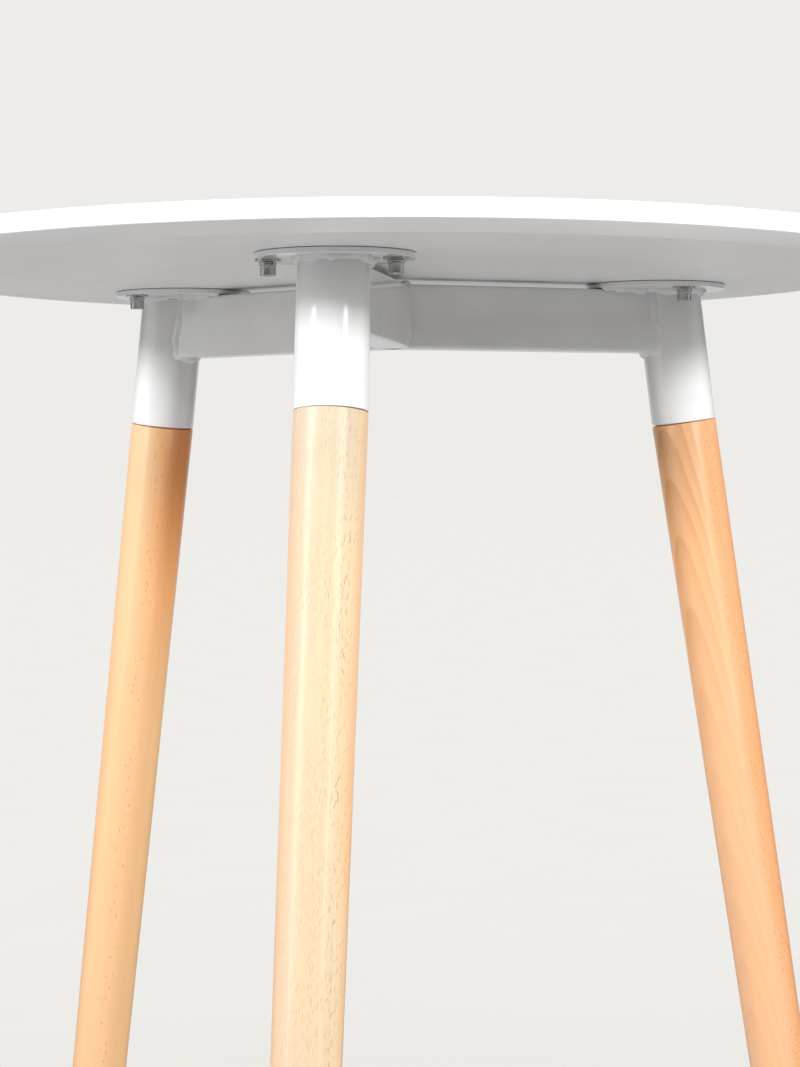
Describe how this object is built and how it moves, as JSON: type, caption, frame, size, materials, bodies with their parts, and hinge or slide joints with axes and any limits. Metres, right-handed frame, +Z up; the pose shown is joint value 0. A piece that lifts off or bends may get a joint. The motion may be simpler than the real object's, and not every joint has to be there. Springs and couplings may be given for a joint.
{
  "type": "round splayed-leg table",
  "caption": "Round white table: bevelled board on a welded steel Y-frame with splayed, tapered beech legs in round steel sleeves.",
  "frame": {"origin": "on the floor, straight below the centre of the tabletop", "axes": "+Z up; the front leg stands towards -Y, the other two follow at steps of 120 degrees"},
  "size_m": [0.7, 0.7, 0.75],
  "materials": {
    "white_lacquer": "satin white lacquer on fibreboard",
    "white_enamel": "glossy white paint over welded steel",
    "beech": "clear satin lacquer on beech",
    "zinc_steel": "grey zinc plating",
    "yellow_zinc": "yellow zinc plating",
    "grey_plastic": "matt moulded nylon"
  },
  "bodies": {
    "root": {"tabletop": "white_lacquer", "frame_beam_front": "white_enamel", "leg_sleeve_front": "white_enamel", "flange_plate_front": "white_enamel", "stop_disc_front": "white_enamel", "leg_front": "beech", "foot_glide_front": "grey_plastic", "leg_bolt_front": "zinc_steel", "leg_washer_front": "zinc_steel", "leg_insert_front": "yellow_zinc", "glide_screw_front": "zinc_steel", "top_screw_front_1": "zinc_steel", "lock_washer_front_1": "zinc_steel", "flat_washer_front_1": "zinc_steel", "top_insert_front_1": "yellow_zinc", "top_screw_front_2": "zinc_steel", "lock_washer_front_2": "zinc_steel", "flat_washer_front_2": "zinc_steel", "top_insert_front_2": "yellow_zinc", "frame_beam_left": "white_enamel", "leg_sleeve_left": "white_enamel", "flange_plate_left": "white_enamel", "stop_disc_left": "white_enamel", "leg_left": "beech", "foot_glide_left": "grey_plastic", "leg_bolt_left": "zinc_steel", "leg_washer_left": "zinc_steel", "leg_insert_left": "yellow_zinc", "glide_screw_left": "zinc_steel", "top_screw_left_1": "zinc_steel", "lock_washer_left_1": "zinc_steel", "flat_washer_left_1": "zinc_steel", "top_insert_left_1": "yellow_zinc", "top_screw_left_2": "zinc_steel", "lock_washer_left_2": "zinc_steel", "flat_washer_left_2": "zinc_steel", "top_insert_left_2": "yellow_zinc", "frame_beam_right": "white_enamel", "leg_sleeve_right": "white_enamel", "flange_plate_right": "white_enamel", "stop_disc_right": "white_enamel", "leg_right": "beech", "foot_glide_right": "grey_plastic", "leg_bolt_right": "zinc_steel", "leg_washer_right": "zinc_steel", "leg_insert_right": "yellow_zinc", "glide_screw_right": "zinc_steel", "top_screw_right_1": "zinc_steel", "lock_washer_right_1": "zinc_steel", "flat_washer_right_1": "zinc_steel", "top_insert_right_1": "yellow_zinc", "top_screw_right_2": "zinc_steel", "lock_washer_right_2": "zinc_steel", "flat_washer_right_2": "zinc_steel", "top_insert_right_2": "yellow_zinc"}
  },
  "joints": []
}
